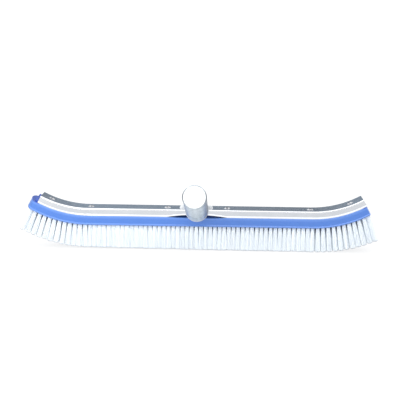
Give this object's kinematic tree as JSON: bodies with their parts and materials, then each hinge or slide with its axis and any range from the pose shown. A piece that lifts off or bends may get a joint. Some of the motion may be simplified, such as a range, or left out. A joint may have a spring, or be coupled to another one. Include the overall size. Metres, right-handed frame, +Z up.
{
  "type": "pool wall brush",
  "caption": "Curved pool wall brush: bristle block under an aluminium back channel, with a tubular handle that locks into a telescopic pole by two spring buttons.",
  "frame": {"origin": "centre of the bristle tips' plane, under the middle of the brush", "axes": "+X along the brush, +Z up through the block, and the handle points to -Y"},
  "size_m": [0.4593, 0.1608, 0.1139],
  "materials": {
    "blue_plastic": "moulded, semi-gloss",
    "polished_aluminium": "polished, fine drawing lines",
    "cast_aluminium": "tumbled casting",
    "rivet_aluminium": "bright",
    "white_plastic": "moulded, satin",
    "bristle": "translucent white filament"
  },
  "bodies": {
    "brush": {"brush_body": "blue_plastic", "back_channel": "polished_aluminium", "handle_foot": "cast_aluminium", "handle_tube": "polished_aluminium", "clip_head": "white_plastic", "rivet_far_left": "rivet_aluminium", "rivet_mid_left": "rivet_aluminium", "rivet_foot_left": "rivet_aluminium", "rivet_foot_right": "rivet_aluminium", "rivet_mid_right": "rivet_aluminium", "rivet_far_right": "rivet_aluminium", "bristles_1_left": "bristle", "bristles_1_mid": "bristle", "bristles_1_right": "bristle", "bristles_2_left": "bristle", "bristles_2_mid": "bristle", "bristles_2_right": "bristle", "bristles_3_left": "bristle", "bristles_3_mid": "bristle", "bristles_3_right": "bristle", "bristles_4_left": "bristle", "bristles_4_mid": "bristle", "bristles_4_right": "bristle", "bristles_5_left": "bristle", "bristles_5_mid": "bristle", "bristles_5_right": "bristle"},
    "left_button": {"clip_leg_left": "white_plastic"},
    "right_button": {"clip_leg_right": "white_plastic"}
  },
  "joints": [
    {"name": "left_button_press", "type": "hinge", "parent": "brush", "child": "left_button", "pos_m": [-0.011, -0.12889, 0.09645], "axis": [0, -0.3584, -0.9336], "range_deg": [0, 4.5], "stiffness_Nm_per_rad": 8, "springref_deg": -1.72},
    {"name": "right_button_press", "type": "hinge", "parent": "brush", "child": "right_button", "pos_m": [0.003, -0.12889, 0.09645], "axis": [0, 0.3584, 0.9336], "range_deg": [0, 4.5], "stiffness_Nm_per_rad": 8, "springref_deg": -1.72}
  ]
}
